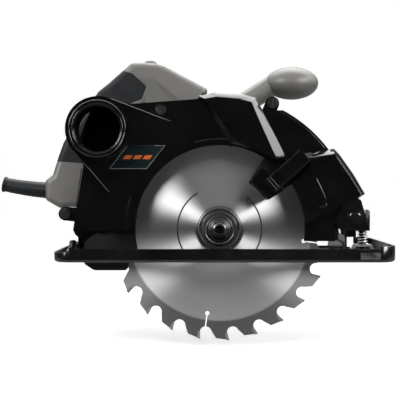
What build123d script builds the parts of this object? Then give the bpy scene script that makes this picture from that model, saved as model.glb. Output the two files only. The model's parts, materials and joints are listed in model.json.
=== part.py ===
from build123d import *
import os
from math import atan2, cos, degrees, hypot, radians, sin

# Hand-held circular saw for 185 mm blades, in millimetres.
# Frame: +X forward (cutting direction), +Y from the blade towards the motor, +Z up.
# Origin: on the sole of the base plate, in the blade's plane, straight below the arbor.
# It stands at full depth and no bevel, with the lower guard held open.

# Driving dimensions
BLADE_D = 185.0
CUT_DEPTH = 66.5
ARBOR_Z = BLADE_D / 2 - CUT_DEPTH
PLATE_X0, PLATE_X1 = -135.0, 143.0
PLATE_Y0, PLATE_Y1 = -26.0, 115.0
DECK_T = 2.0
PIVOT_X, PIVOT_Z = 110.0, 36.0
BEVEL_Y, BEVEL_Z = -10.0, 8.0
GEAR_MODULE = 0.9
GEAR_TEETH, PINION_TEETH = 42, 8
MOTOR_ANGLE = 110.0
HOSE_R = 18.0
PART_GAP = 0.3

# Places worked out from them
MOTOR_DISTANCE = GEAR_MODULE * (GEAR_TEETH + PINION_TEETH) / 2
MOTOR_X = MOTOR_DISTANCE * cos(radians(MOTOR_ANGLE))
MOTOR_Z = ARBOR_Z + MOTOR_DISTANCE * sin(radians(MOTOR_ANGLE))
MOTOR_R = 41.0
BLADE_R = BLADE_D / 2
BLADE_HALF = 0.8
TIP_HALF = 1.2
GUARD_R = 96.3
HOUSING_R = 101.0
HOUSING_FRONT, WALL_Y0, WALL_Y1 = -9.0, 10.0, 13.0
CASE_Y1 = 44.0
MOTOR_Y1 = 132.0
CAP_Y1 = 140.0
HANDLE_Y0, HANDLE_Y1 = 28.0, 62.0
HANDLE_MID = (HANDLE_Y0 + HANDLE_Y1) / 2
SCREW_R = 2.0

pieces = {}


# Shapes that repeat
def cylinder_x(radius, x0, x1, y, z):
    return Pos((x0 + x1) / 2, y, z) * Rot(0, 90, 0) * Cylinder(radius, x1 - x0)


def cylinder_y(radius, y0, y1, x=0.0, z=ARBOR_Z):
    return Pos(x, (y0 + y1) / 2, z) * Rot(90, 0, 0) * Cylinder(radius, y1 - y0)


def cylinder_z(radius, z0, z1, x, y):
    return Pos(x, y, (z0 + z1) / 2) * Cylinder(radius, z1 - z0)


def tube_y(outer, inner, y0, y1, x=0.0, z=ARBOR_Z):
    return cylinder_y(outer, y0, y1, x, z) - cylinder_y(inner, y0 - 1, y1 + 1, x, z)


def block(x0, x1, y0, y1, z0, z1):
    return Pos((x0 + x1) / 2, (y0 + y1) / 2, (z0 + z1) / 2) * Box(x1 - x0, y1 - y0, z1 - z0)


def outline(points, radius=0.0):
    """A closed face through the points, its corners rounded by one radius or a list of them."""
    if radius == 0.0:
        return make_face(Polyline(*points, close=True))
    return make_face(FilletPolyline(*points, radius=radius, close=True))


def disc(radius, x=0.0, z=ARBOR_Z):
    return Pos(x, z) * Circle(radius)


def panel(x0, x1, z0, z1):
    return Pos((x0 + x1) / 2, (z0 + z1) / 2) * Rectangle(x1 - x0, z1 - z0)


def prism_x(sketch, x0, x1):
    """A sketch of Y and Z made solid from x0 to x1."""
    return extrude(Plane.YZ.offset(x0) * sketch, amount=x1 - x0)


def prism_y(sketch, y0, y1):
    """A sketch of X and Z made solid from y0 to y1."""
    return Pos(0, y1, 0) * Rot(90, 0, 0) * extrude(sketch, amount=y1 - y0)


def prism_z(sketch, z0, z1):
    return Pos(0, 0, z0) * extrude(sketch, amount=z1 - z0)


def polar(radius, angle, x=0.0, z=ARBOR_Z):
    return (x + radius * cos(radians(angle)), z + radius * sin(radians(angle)))


def ring_sector(inner, outer, start, end, x=0.0, z=ARBOR_Z):
    """A ring's sector in X and Z, its angles in degrees from +X towards +Z."""
    edges = Curve() + [
        CenterArc((x, z), outer, start, end - start),
        Line(polar(outer, end, x, z), polar(inner, end, x, z)),
        CenterArc((x, z), inner, start, end - start),
        Line(polar(inner, start, x, z), polar(outer, start, x, z)),
    ]
    return make_face(edges)


def strip(start, end, half_width):
    """A bar's outline in X and Z between two points."""
    length = hypot(end[0] - start[0], end[1] - start[1])
    across = (
        -(end[1] - start[1]) / length * half_width,
        (end[0] - start[0]) / length * half_width,
    )
    return outline([
        (start[0] + across[0], start[1] + across[1]),
        (start[0] - across[0], start[1] - across[1]),
        (end[0] - across[0], end[1] - across[1]),
        (end[0] + across[0], end[1] + across[1]),
    ])


def capsule(start, end, radius):
    """A slot's outline in X and Z between two points."""
    return strip(start, end, radius) + disc(radius, *start) + disc(radius, *end)


def pan_screw(x, z, seat, tip, head_r=4.2, head_t=2.4):
    """A cross-head screw along Y, its head standing on the seat and its shank ending at the tip."""
    away = -1 if tip > seat else 1
    top = seat + away * head_t
    head = cylinder_y(head_r, min(seat, top), max(seat, top), x, z)
    shank = cylinder_y(SCREW_R, min(seat, tip), max(seat, tip), x, z)
    low, high = sorted((top - away * 1.2, top + away))
    cross = block(x - 2.4, x + 2.4, low, high, z - 0.5, z + 0.5)
    cross += block(x - 0.5, x + 0.5, low, high, z - 2.4, z + 2.4)
    return head + shank - cross


def hex_prism_y(across_flats, y0, y1, x=0.0, z=ARBOR_Z):
    hexagon = Pos(x, z) * RegularPolygon(across_flats / 2, 6, major_radius=False)
    return prism_y(hexagon, y0, y1)


def keep(name, *solids):
    """Keeps one named piece, or a group of alike ones."""
    if len(solids) == 1:
        pieces[name] = solids[0]
    else:
        pieces[name] = Compound(children=[Compound(solid.solids()) for solid in solids])


# Base plate: a pressed steel tray with up-turned lips, a blade slot and a fence tunnel
SLOT_X0, SLOT_X1, SLOT_Y0, SLOT_Y1 = -116.0, 98.0, -12.0, 27.0
LIP_SIDE, LIP_REAR, LIP_FRONT, LIP_FAR = 11.0, 8.0, 13.0, 5.0
FENCE_X, FENCE_W, FENCE_TOP = 121.0, 16.4, 8.0
CLAMP_Y = 15.0


def make_base_plate():
    length, width = PLATE_X1 - PLATE_X0, PLATE_Y1 - PLATE_Y0
    middle = Pos((PLATE_X0 + PLATE_X1) / 2, (PLATE_Y0 + PLATE_Y1) / 2)
    tray = prism_z(middle * RectangleRounded(length, width, 14), 0, LIP_FRONT)
    tray = fillet(tray.edges().group_by(Axis.Z)[0], 2.5)
    inside = middle * RectangleRounded(length - 2 * DECK_T, width - 2 * DECK_T, 12)
    tray -= prism_z(inside, DECK_T, LIP_FRONT + 1)
    tray -= block(PLATE_X0 + 12, PLATE_X1 - 14, PLATE_Y0 - 1, PLATE_Y1 + 1, LIP_SIDE, LIP_FRONT + 1)
    tray -= block(PLATE_X0 - 1, PLATE_X0 + 12, PLATE_Y0 - 1, PLATE_Y1 + 1, LIP_REAR, LIP_FRONT + 1)
    tray -= block(PLATE_X0 + 12, PLATE_X1 - 14, PLATE_Y1 - 12, PLATE_Y1 + 1, LIP_FAR, LIP_FRONT + 1)
    slot = Pos((SLOT_X0 + SLOT_X1) / 2, (SLOT_Y0 + SLOT_Y1) / 2) * RectangleRounded(
        SLOT_X1 - SLOT_X0, SLOT_Y1 - SLOT_Y0, 4
    )
    tray -= prism_z(slot, -1, DECK_T + 1)
    tray -= block(
        FENCE_X - FENCE_W / 2, FENCE_X + FENCE_W / 2, PLATE_Y0 - 1, PLATE_Y1 + 1, DECK_T + 0.6, FENCE_TOP
    )
    notch = Pos(PLATE_X1, 0) * Rectangle(12, 5)
    tray -= prism_z(notch, -1, LIP_FRONT + 1)
    for x, y in FRONT_RIVETS + REAR_RIVETS + BRIDGE_RIVETS:
        tray -= cylinder_z(RIVET_R + 0.05, -1, DECK_T + 1, x, y)
    return tray


# Fixed brackets for the bevel hinge, front and rear
QUADRANT_X0, QUADRANT_X1 = 99.2, 101.1
REAR_X0, REAR_X1 = -122.0, -119.5
BEVEL_PIN_R = 3.0
QUADRANT_R = 73.0
FOOT_T = 2.0
BEVEL_START, BEVEL_TURN = 17.0, 45.0
RIVET_R, PIN_HEAD_R = 1.5, 3.9
BRIDGE_HALF, BRIDGE_FOOT, BRIDGE_TOP = 16.0, 4.5, 12.4
FRONT_RIVETS = [(94.0, 40.0), (94.0, 62.0), (91.0, -18.0)]
REAR_RIVETS = [(-128.0, -11.0), (-128.0, 6.0), (-128.0, 30.0)]
BRIDGE_RIVETS = [(FENCE_X + side * (BRIDGE_HALF - 2.2), CLAMP_Y) for side in (-1, 1)]


def make_front_quadrant():
    centre = (BEVEL_Y, BEVEL_Z)
    fan = ring_sector(QUADRANT_R - 8, QUADRANT_R + 7, 2, BEVEL_START + BEVEL_TURN + 5.5, *centre)
    fan = fan & panel(BEVEL_Y, 90, DECK_T, 90)
    low = outline([(-20, DECK_T), (72, DECK_T), (72, 10), (62, 17), (-4, 15), (-16, 14)])
    sheet = prism_x(fan + low, QUADRANT_X0, QUADRANT_X1)
    slot = ring_sector(
        QUADRANT_R - 3.2, QUADRANT_R + 3.2, BEVEL_START - 3, BEVEL_START + BEVEL_TURN + 3, *centre
    )
    sheet -= prism_x(slot, QUADRANT_X0 - 1, QUADRANT_X1 + 1)
    sheet -= cylinder_x(BEVEL_PIN_R + 0.05, QUADRANT_X0 - 1, QUADRANT_X1 + 1, BEVEL_Y, BEVEL_Z)
    sheet += block(88, QUADRANT_X0 + 1, 30, 70, DECK_T, DECK_T + FOOT_T)
    sheet += block(84, QUADRANT_X0 + 1, -22, -13, DECK_T, DECK_T + FOOT_T)
    for x, y in FRONT_RIVETS:
        sheet -= cylinder_z(RIVET_R + 0.05, 0, 9, x, y)
    return sheet


def make_rear_bracket():
    upright = outline([(-20, DECK_T), (38, DECK_T), (38, 10), (-2, 17), (-17, 17), (-20, 12)], 1.5)
    sheet = prism_x(upright, REAR_X0, REAR_X1)
    sheet += block(-132, REAR_X0 + 1, -15.5, 37, DECK_T, DECK_T + FOOT_T)
    sheet -= cylinder_x(BEVEL_PIN_R + 0.05, REAR_X0 - 1, REAR_X1 + 1, BEVEL_Y, BEVEL_Z)
    for x, y in REAR_RIVETS:
        sheet -= cylinder_z(RIVET_R + 0.05, 0, 9, x, y)
    return sheet


def make_fence_bridge():
    """A bent strap over the fence bar, the same thickness all along."""
    half = [(BRIDGE_HALF, DECK_T), (BRIDGE_HALF - BRIDGE_FOOT - 0.6, DECK_T), (6.0, BRIDGE_TOP - 1.8)]
    over = [(6.8, BRIDGE_TOP), (BRIDGE_HALF - BRIDGE_FOOT, DECK_T + FOOT_T), (BRIDGE_HALF, DECK_T + FOOT_T)]
    under = [(FENCE_X - x, z) for x, z in half] + [(FENCE_X + x, z) for x, z in reversed(half)]
    above = [(FENCE_X + x, z) for x, z in reversed(over)] + [(FENCE_X - x, z) for x, z in over]
    strap = prism_y(outline(under + above), CLAMP_Y - 6, CLAMP_Y + 6)
    strap -= cylinder_z(3.05, 0, 20, FENCE_X, CLAMP_Y)
    for x, y in BRIDGE_RIVETS:
        strap -= cylinder_z(RIVET_R + 0.05, 0, 9, x, y)
    return strap


def make_rivets():
    made = []
    for x, y in FRONT_RIVETS + REAR_RIVETS + BRIDGE_RIVETS:
        shank = cylinder_z(RIVET_R, 0.1, DECK_T + FOOT_T, x, y)
        head = cylinder_z(RIVET_R + 0.7, DECK_T + FOOT_T, DECK_T + FOOT_T + 1.1, x, y)
        made.append(shank + head)
    return made


def make_fence_screw():
    """A thumb screw with a ribbed knob on top."""
    knob = cylinder_z(5.4, 24, 41.5, FENCE_X, CLAMP_Y)
    for step in range(12):
        angle = radians(30 * step)
        knob += cylinder_z(1.1, 24, 40.5, FENCE_X + 5.3 * cos(angle), CLAMP_Y + 5.3 * sin(angle))
    return knob + cylinder_z(2.9, 8.6, 24.5, FENCE_X, CLAMP_Y)


def make_fence_spring():
    coil = cylinder_z(4.4, 12.6, 23.8, FENCE_X, CLAMP_Y)
    return coil - cylinder_z(3.3, 12, 25, FENCE_X, CLAMP_Y)


# Tilting brackets: the front one carries the depth pivot, the rear one the depth arm
WEB_X0, WEB_X1 = 101.5, 103.5
EAR_NEAR, EAR_FAR, EAR_T = -12.5, 4.3, 2.5
ARM_R, ARM_HALF = 190.0, 9.0
ARM_Y0, ARM_Y1 = 15.0, 18.0
DEPTH_START, DEPTH_TURN = -6.0, 31.0
TILT_X0, TILT_X1 = -119.1, -116.6
CLAMP_BOLT = polar(QUADRANT_R, BEVEL_START, BEVEL_Y, BEVEL_Z)


def make_tilt_bracket():
    web = outline([
        (-15.4, BEVEL_Z), (-14.4, 4.4), (-10.0, 2.8), (-4, 2.8), (58, 17), (67, 24), (68, 33), (60, 38),
        (48, 34), (16, 21.5), (EAR_NEAR, 21.5),
    ])
    plate = prism_x(web, WEB_X0, WEB_X1)
    ear = outline([
        (WEB_X0, 19), (WEB_X1, 19), (WEB_X1 + 1.5, 25), (122.5, 25), (115.5, 50), (112, 52),
        (104, 50), (95, 38), (95, 27), (WEB_X0, 26),
    ])
    plate += prism_y(ear, EAR_NEAR, EAR_NEAR + EAR_T)
    far_ear = disc(11.5, PIVOT_X, PIVOT_Z) + panel(WEB_X0, 114, 19, 30)
    plate += prism_y(far_ear, EAR_FAR, EAR_FAR + EAR_T)
    plate -= cylinder_y(4.05, -20, 20, PIVOT_X, PIVOT_Z)
    plate -= cylinder_x(BEVEL_PIN_R + 0.05, 90, 110, BEVEL_Y, BEVEL_Z)
    plate -= cylinder_x(3.05, 90, 110, *CLAMP_BOLT)
    return plate


def make_depth_arm():
    """A curved steel arm about the front pivot, bent to a tab on the rear bevel hinge."""
    centre = (PIVOT_X, PIVOT_Z)
    top = 180 - (DEPTH_START + DEPTH_TURN + 2.2)
    low = 180 - DEPTH_START + 4
    arm = ring_sector(ARM_R - ARM_HALF, ARM_R + ARM_HALF, top, low, *centre)
    foot = outline([(TILT_X0, 4.6), (-72, 4.6), (-72, 24), (TILT_X0, 24)])
    sheet = prism_y(arm + foot, ARM_Y0, ARM_Y1)
    slot = ring_sector(
        ARM_R - 3.3, ARM_R + 3.3, 180 - (DEPTH_START + DEPTH_TURN + 1.2), 180 - DEPTH_START + 1.2, *centre
    )
    sheet -= prism_y(slot, ARM_Y0 - 1, ARM_Y1 + 1)
    tab = outline([
        (-15.4, BEVEL_Z), (-14.2, 4.4), (-10, 2.8), (-4, 2.8), (ARM_Y1, 4.6), (ARM_Y1, 15), (-10, 14),
        (-14.2, 12),
    ])
    sheet += prism_x(tab, TILT_X0, TILT_X1)
    return sheet - cylinder_x(BEVEL_PIN_R + 0.05, -125, -110, BEVEL_Y, BEVEL_Z)


def make_bevel_pins():
    front = cylinder_x(BEVEL_PIN_R, 97.2, 106.2, BEVEL_Y, BEVEL_Z)
    front += cylinder_x(PIN_HEAD_R, 96.2, QUADRANT_X0, BEVEL_Y, BEVEL_Z)
    front += cylinder_x(PIN_HEAD_R, WEB_X1 + PART_GAP, 106.6, BEVEL_Y, BEVEL_Z)
    rear = cylinder_x(BEVEL_PIN_R, -124, -115, BEVEL_Y, BEVEL_Z)
    rear += cylinder_x(PIN_HEAD_R, -124, REAR_X0, BEVEL_Y, BEVEL_Z)
    rear += cylinder_x(PIN_HEAD_R, TILT_X1 + PART_GAP, -114.6, BEVEL_Y, BEVEL_Z)
    return front, rear


def make_bevel_clamp_bolt():
    y, z = CLAMP_BOLT
    bolt = cylinder_x(2.95, 97.0, 116, y, z)
    return bolt + cylinder_x(5.2, 95.4, QUADRANT_X0 - PART_GAP, y, z)


def make_bevel_knob():
    """A round knob with finger scallops on the bevel clamp bolt."""
    y, z = CLAMP_BOLT
    knob = cylinder_x(6.0, WEB_X1 + PART_GAP, 108, y, z) + cylinder_x(8.6, 107, 119, y, z)
    for step in range(8):
        angle = radians(45 * step)
        knob -= cylinder_x(2.0, 106, 120, y + 9.7 * cos(angle), z + 9.7 * sin(angle))
    return knob - cylinder_x(3.0, 100, 116.4, y, z)


def make_pivot_pin():
    pin = cylinder_y(4.0, -16.2, 9.6, PIVOT_X, PIVOT_Z)
    pin += cylinder_y(6.2, EAR_FAR + EAR_T + 0.1, 9.6, PIVOT_X, PIVOT_Z)
    groove = tube_y(5, 3.3, -14.9, -13.8, PIVOT_X, PIVOT_Z)
    return pin - groove


def make_pivot_clip():
    clip = tube_y(6.0, 3.32, -14.8, -13.9, PIVOT_X, PIVOT_Z)
    return clip - block(PIVOT_X - 2, PIVOT_X + 2, -16, -12, PIVOT_Z, PIVOT_Z + 8)


# Blade and what holds it
TOOTH_COUNT = 24
TOOTH_PITCH = 360 / TOOTH_COUNT
TIP_ANGLE = -24.8
KEYHOLE_R, KEYHOLE_ANGLE = 70.5, 261.8


def tip_outline(angle):
    return outline([
        polar(BLADE_R, angle), polar(BLADE_R - 6.2, angle - 0.9),
        polar(BLADE_R - 6.2, angle - 2.1), polar(BLADE_R - 0.15, angle - 1.7),
    ])


def make_blade():
    edges = []
    for tooth in range(TOOTH_COUNT):
        angle = TIP_ANGLE + TOOTH_PITCH * tooth
        face_low = polar(BLADE_R - 7.0, angle - 1.0)
        gullet = polar(BLADE_R - 11.0, angle + 2.0)
        rise = polar(BLADE_R - 8.0, angle + 5.2)
        shoulder = polar(BLADE_R - 2.0, angle + 8.0)
        edges += [
            Line(polar(BLADE_R - 0.1, angle), face_low),
            ThreePointArc(face_low, gullet, rise),
            Line(rise, shoulder),
            Line(shoulder, polar(BLADE_R - 0.1, angle + TOOTH_PITCH)),
        ]
    plate = make_face(Curve() + edges)
    for quarter in range(4):
        angle = KEYHOLE_ANGLE + 90 * quarter
        plate -= disc(1.8, *polar(KEYHOLE_R, angle))
        plate -= strip(polar(KEYHOLE_R, angle), polar(BLADE_R - 5, angle), 0.5)
    plate -= disc(10.0)
    blade = prism_y(plate, -BLADE_HALF, BLADE_HALF)
    for tip in make_blade_tips():
        blade -= tip
    return blade


def make_blade_tips():
    return [
        prism_y(tip_outline(TIP_ANGLE + TOOTH_PITCH * tooth), -TIP_HALF, TIP_HALF)
        for tooth in range(TOOTH_COUNT)
    ]


def make_outer_flange():
    flange = cylinder_y(17.8, -3.0, -BLADE_HALF) + cylinder_y(14.5, -4.4, -3.0)
    return flange - cylinder_y(4.1, -6, 0)


def make_blade_bolt():
    head = cylinder_y(9.5, -6.2, -4.4) + hex_prism_y(13, -11.5, -6.2)
    head -= hex_prism_y(6, -12, -7.5)
    return head + cylinder_y(3.9, -4.5, 18)


def make_inner_flange():
    flange = cylinder_y(17.5, BLADE_HALF, 3.2) + cylinder_y(9.95, -0.7, BLADE_HALF)
    return flange - cylinder_y(6.0, -2, 5)


def make_spindle():
    shaft = cylinder_y(5.97, -0.6, 3.6) + cylinder_y(7.48, 3.5, 31.0)
    shaft += cylinder_y(9.0, 16.3, 18.5) + cylinder_y(3.98, 30, 39)
    return shaft - cylinder_y(3.95, -2, 20)


def gear_wheel(teeth, y0, y1, bore, x, z, phase):
    """A spur wheel with straight-sided teeth and a little backlash."""
    pitch_r = GEAR_MODULE * teeth / 2
    root, tip = pitch_r - 1.15 * GEAR_MODULE, pitch_r + 0.85 * GEAR_MODULE
    pitch = 360 / teeth
    wheel = disc(root, x, z)
    for tooth in range(teeth):
        angle = phase + pitch * tooth
        wheel += outline([
            polar(root - 0.15, angle - 0.36 * pitch, x, z), polar(pitch_r, angle - 0.205 * pitch, x, z),
            polar(tip, angle - 0.09 * pitch, x, z), polar(tip, angle + 0.09 * pitch, x, z),
            polar(pitch_r, angle + 0.205 * pitch, x, z), polar(root - 0.15, angle + 0.36 * pitch, x, z),
        ])
    if bore:
        wheel -= disc(bore, x, z)
    return prism_y(wheel, y0, y1)


def make_drive_gear():
    wheel = gear_wheel(GEAR_TEETH, 20, 27, 7.5, 0, ARBOR_Z, MOTOR_ANGLE)
    hub = tube_y(12.5, 7.5, 27, 31)
    for quarter in range(4):
        x, z = polar(12.5, 90 * quarter)
        hub -= cylinder_y(2.4, 26, 32, x, z)
    return wheel + hub


# Motor: everything turns about an axis along Y beside the spindle
FAN_Y0, FAN_Y1 = 47.0, 57.0
CORE_Y0, CORE_Y1 = 64.0, 100.0
COMMUTATOR_Y0, COMMUTATOR_Y1 = 107.0, 119.0
STATOR_R = 33.4


def make_armature_shaft():
    shaft = cylinder_y(2.4, 14.5, 33, MOTOR_X, MOTOR_Z) + cylinder_y(3.98, 28.5, 130, MOTOR_X, MOTOR_Z)
    mesh_phase = MOTOR_ANGLE + 180 + 180 / PINION_TEETH
    return shaft + gear_wheel(PINION_TEETH, 19, 28.5, 0, MOTOR_X, MOTOR_Z, mesh_phase)


def make_armature_core():
    core = tube_y(21.0, 4.0, CORE_Y0, CORE_Y1, MOTOR_X, MOTOR_Z)
    for slot in range(12):
        x, z = polar(20.2, 30 * slot, MOTOR_X, MOTOR_Z)
        core -= cylinder_y(1.6, CORE_Y0 - 1, CORE_Y1 + 1, x, z)
    return core


def make_armature_windings():
    front = tube_y(17.5, 4.0, 59, CORE_Y0, MOTOR_X, MOTOR_Z)
    return front, tube_y(17.5, 4.0, CORE_Y1, 105, MOTOR_X, MOTOR_Z)


def make_commutator():
    return tube_y(12.0, 4.0, COMMUTATOR_Y0, COMMUTATOR_Y1, MOTOR_X, MOTOR_Z)


def make_fan():
    fan = tube_y(33.0, 4.0, FAN_Y0, FAN_Y0 + 1.6, MOTOR_X, MOTOR_Z)
    fan += tube_y(10.0, 4.0, FAN_Y0, FAN_Y1, MOTOR_X, MOTOR_Z)
    for blade in range(16):
        angle = 22.5 * blade
        start = polar(14, angle, MOTOR_X, MOTOR_Z)
        end = polar(32.5, angle + 14, MOTOR_X, MOTOR_Z)
        fan += prism_y(strip(start, end, 0.7), FAN_Y0 + 1.5, FAN_Y1)
    return fan


def make_stator():
    rings = tube_y(STATOR_R, 22.0, CORE_Y0, CORE_Y1, MOTOR_X, MOTOR_Z)
    for side in (-1, 1):
        rings -= block(MOTOR_X - 17, MOTOR_X + 17, 60, 104, MOTOR_Z + 23 * side - 6, MOTOR_Z + 23 * side + 6)
    return rings


def make_field_coils():
    coils = []
    for start in (62, 242):
        ring = ring_sector(23.2, 28.4, start, start + 56, MOTOR_X, MOTOR_Z)
        coils.append(prism_y(ring, CORE_Y0 - 5, CORE_Y1 + 4))
    return coils


def bearing(outer, inner, y0, y1, x, z):
    ring = tube_y(outer, inner, y0, y1, x, z)
    middle_in, middle_out = inner + (outer - inner) * 0.3, inner + (outer - inner) * 0.72
    for low, high in ((y0 - 1, y0 + 0.5), (y1 - 0.5, y1 + 1)):
        ring -= tube_y(middle_out, middle_in, low, high, x, z)
    return ring


def make_brush_holders():
    made = []
    for side in (-1, 1):
        near, far = 14.5 * side, 36.0 * side
        x0, x1 = sorted((MOTOR_X + near, MOTOR_X + far))
        holder = block(x0, x1, 108.5, 117.5, MOTOR_Z - 5.5, MOTOR_Z + 5.5)
        made.append(holder - block(x0 - 1, x1 + 1, 110, 116, MOTOR_Z - 4, MOTOR_Z + 4))
    return made


def make_carbon_brushes():
    made = []
    for side in (-1, 1):
        x0, x1 = sorted((MOTOR_X + 12.2 * side, MOTOR_X + 26 * side))
        made.append(block(x0, x1, 110.1, 115.9, MOTOR_Z - 3.9, MOTOR_Z + 3.9))
    return made


def make_brush_caps():
    made = []
    for side in (-1, 1):
        x0, x1 = sorted((MOTOR_X + 36.2 * side, MOTOR_X + 42.6 * side))
        cap = cylinder_x(7.0, x0, x1, 113, MOTOR_Z)
        outer = x1 if side > 0 else x0
        made.append(cap - block(outer - 1.2, outer + 1.2, 107, 119, MOTOR_Z - 0.8, MOTOR_Z + 0.8))
    return made


# Castings and housings
CASE_SCREWS = [(MOTOR_X + 36 * cos(radians(a)), MOTOR_Z + 36 * sin(radians(a))) for a in (20, 90, 160)]
HOUSING_SCREWS = [(MOTOR_X + 38 * cos(radians(a)), MOTOR_Z + 38 * sin(radians(a))) for a in (45, 135, 225, 315)]
COVER_SCREWS = [(-48.0, 124.0), (43.0, 129.0), (-126.0, 39.0)]
BOSS_R = 21.0
DEPTH_BOLT = polar(ARM_R, 180 - DEPTH_START, PIVOT_X, PIVOT_Z)


def make_guard_housing():
    """Fixed upper guard: a back wall, a rim round the blade and the boss for the lower guard."""
    clip_low = panel(-HOUSING_R - 30, 0, 24.5, 160) + panel(0, 97.5, 17, 160)
    outer = disc(HOUSING_R) & clip_low
    inner = disc(98.0) & (panel(-120, 0, 0, 160) + panel(0, 94.8, 0, 160))
    wall = (outer + disc(25)) & panel(-150, 150, 2.5, 200)
    shell = prism_y(outer, HOUSING_FRONT, WALL_Y1) - prism_y(inner, HOUSING_FRONT - 1, WALL_Y0)
    shell += prism_y(wall, WALL_Y0, WALL_Y1)
    chute = outline([(-98, 50), (-113.5, 50), (-111, 78), (-117, 96), (-104, 128), (-70, 122), (-72, 96)], 2)
    shell += prism_y((chute - disc(98.0)), HOUSING_FRONT, WALL_Y1)
    inner_chute = outline([(-90, 54), (-110, 54), (-107.8, 78), (-113.6, 96), (-103, 124.5), (-74, 118), (-60, 84)], 2)
    shell -= prism_y(inner_chute, HOUSING_FRONT - 1, WALL_Y0)
    lug = outline([(88, 30), (100, 26.5), (PIVOT_X, 26.5), (PIVOT_X, 45.5), (98, 46), (88, 60)])
    lug = (lug + disc(9.5, PIVOT_X, PIVOT_Z)) - (disc(98.0) & panel(0, 94.8, 0, 160))
    shell += prism_y(lug, HOUSING_FRONT, EAR_FAR - PART_GAP)
    shell -= cylinder_y(4.0, -20, 20, PIVOT_X, PIVOT_Z)
    for x, z in COVER_SCREWS:
        base = capsule((x, z), polar(HOUSING_R - 1, degrees(atan2(z - ARBOR_Z, x))), 5.2) - disc(98.0)
        shell += prism_y(base - inner_chute, HOUSING_FRONT, 4)
    shell += cylinder_y(BOSS_R, 5.2, WALL_Y0 + 1) + cylinder_y(19.4, 3.8, 6)
    shell -= cylinder_y(16.0, 6.5, WALL_Y1 + 1) + cylinder_y(12.5, 0, WALL_Y1)
    shell -= cylinder_y(2.1, 0, 20, *DEPTH_BOLT)
    for x, z in COVER_SCREWS:
        shell -= cylinder_y(SCREW_R + 0.03, -20, 3, x, z)
    for x, z in CASE_SCREWS:
        shell -= cylinder_y(SCREW_R + 0.03, 5, 20, x, z)
    return shell


# Side cover: a moulded cover over the blade's near side, with the dust duct in it
GROUND, CENTRAL, LOW_RIGHT, PORT_Y = -15.0, -20.5, -22.0, -45.0
COVER_T = 2.5
PORT_X, PORT_Z, PORT_R = -96.8, 106.5, 26.7
WINDOW_R = 69.0
RIM_R = 110.0
SLOPE_FOOT = ((-38.8, 113.9), (-89.1, 55.2))
SLOPE_RISE = 0.31


def ground_outline():
    left = outline([
        (-119.5, 25), (-111, 78), (-118, 96), (-96, 133), (-74.6, 128.2), (-18.4, 132.4), (-14, 137.0),
        (27.5, 134.2), (36, 122), (42, 122), (42, 16.7), (0, 16.7), (0, 25),
    ])
    right = disc(RIM_R) & panel(30, 94, 16.7, 123.2)
    return left + right + disc(PORT_R, PORT_X, PORT_Z)


def central_section():
    """Raised middle of the cover, its flanks sloping to the ground level."""
    low = outline([(-17.5, 135), (-3, 138.5), (16, 136.7), (29, 133.5), (55, 83), (9, 96)])
    high = outline([(-12.5, 132), (-3, 133.7), (15.5, 132), (25.5, 129.5), (45.5, 83), (13, 97.5)])
    raised = loft([low, Pos(0, 0, GROUND - CENTRAL) * high], ruled=True)
    return Pos(0, GROUND, 0) * Rot(90, 0, 0) * raised


def low_right_section():
    low = outline([
        (49, 55.5), (71.5, 79), (69, 88), (92.7, 92), (97.3, 87.3), (108.4, 71.6), (118.1, 55.1),
        (112.9, 51.4), (66, 29.3),
    ])
    high = outline([
        (50, 55), (73, 79), (71, 83.5), (92.2, 87.5), (94.0, 85.5), (105, 70), (114.3, 54.4),
        (111, 52.2), (67, 31),
    ])
    raised = loft([low, Pos(0, 0, GROUND - LOW_RIGHT) * high], ruled=True)
    raised = Pos(0, GROUND, 0) * Rot(90, 0, 0) * raised
    skirt = prism_y(low - disc(90) - panel(0, 94, 0, 200), GROUND, -13.2)
    return raised + skirt


def duct_section():
    """The duct swells from the ground level towards the hose port along a slope."""
    tear = outline([
        (-103, 132.4), (-91, 132.6), (-38.8, 113.9), (-56, 70), (-89.1, 55.2), (-119.5, 92), (-122, 110),
    ], 1)
    tear += disc(PORT_R, PORT_X, PORT_Z)
    body = prism_y(tear, PORT_Y + 8, GROUND + 0.5)
    (x0, z0), (x1, z1) = SLOPE_FOOT
    length = hypot(x1 - x0, z1 - z0)
    along = Vector((x1 - x0) / length, 0, (z1 - z0) / length)
    away = Vector(along.Z, 0, -along.X)
    face_x = (away + Vector(0, -SLOPE_RISE, 0)).normalized()
    plane = Plane(origin=(x0, GROUND + 0.2, z0), x_dir=face_x, z_dir=face_x.cross(along))
    cutter = plane * Box(300, 300, 60, align=(Align.CENTER, Align.CENTER, Align.MIN))
    if plane.z_dir.Y > 0:
        cutter = plane * Box(300, 300, 60, align=(Align.CENTER, Align.CENTER, Align.MAX))
    return body - cutter


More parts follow.
